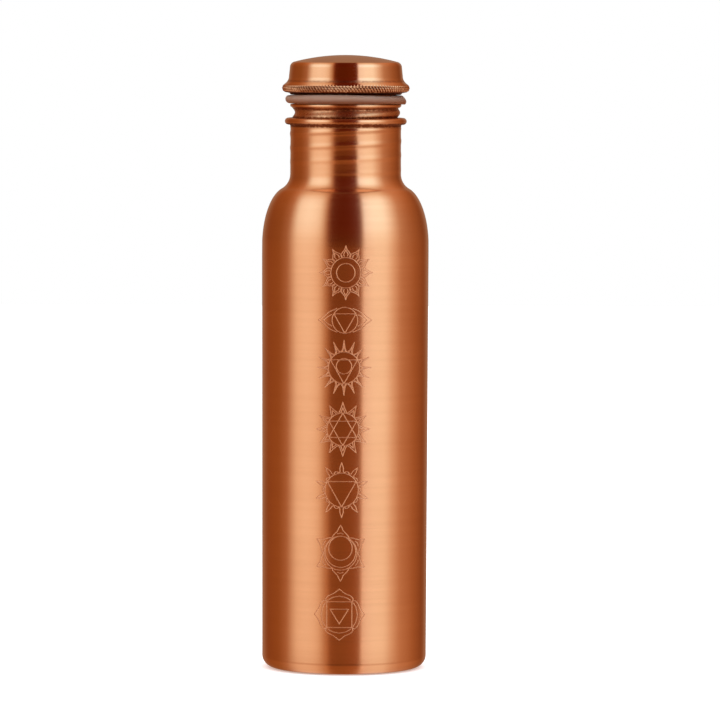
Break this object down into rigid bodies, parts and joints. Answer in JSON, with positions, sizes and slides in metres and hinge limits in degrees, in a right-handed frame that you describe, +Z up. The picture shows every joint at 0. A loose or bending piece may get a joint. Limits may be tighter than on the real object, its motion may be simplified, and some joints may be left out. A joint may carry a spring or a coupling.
{
  "type": "water bottle",
  "caption": "Slim copper water bottle with rounded shoulder, beaded and threaded neck, domed screw-in cap with a knurled hem, and a silicone sealing ring.",
  "frame": {"origin": "middle of the base, on the surface that the bottle stands on", "axes": "+Z up along the bottle's axis of turning, -Y towards the side that carries the engraving"},
  "size_m": [0.0742, 0.0742, 0.273],
  "materials": {
    "copper_body": "satin copper, turned with very fine rings round it, clear-lacquered",
    "copper_cap": "polished copper, knurled round the hem",
    "copper_plug": "plain rolled copper",
    "silicone": "milky translucent silicone, smooth"
  },
  "bodies": {
    "bottle": {"bottle_body": "copper_body"},
    "seal": {"seal_ring": "silicone"},
    "cap": {"cap_shell": "copper_cap", "cap_threaded_plug": "copper_plug"}
  },
  "joints": [
    {"name": "cap_lift", "type": "slide", "parent": "bottle", "child": "seal", "axis": [0, 0, 1], "range_m": [0, 0.0126]},
    {"name": "cap_turn", "type": "hinge", "parent": "seal", "child": "cap", "pos_m": [0, 0, 0.2553], "axis": [0, 0, 1], "range_deg": [0, 720]}
  ],
  "couplings": [
    {"joint": "cap_lift", "follows": "cap_turn", "m_per_rad": 0.0010027}
  ]
}
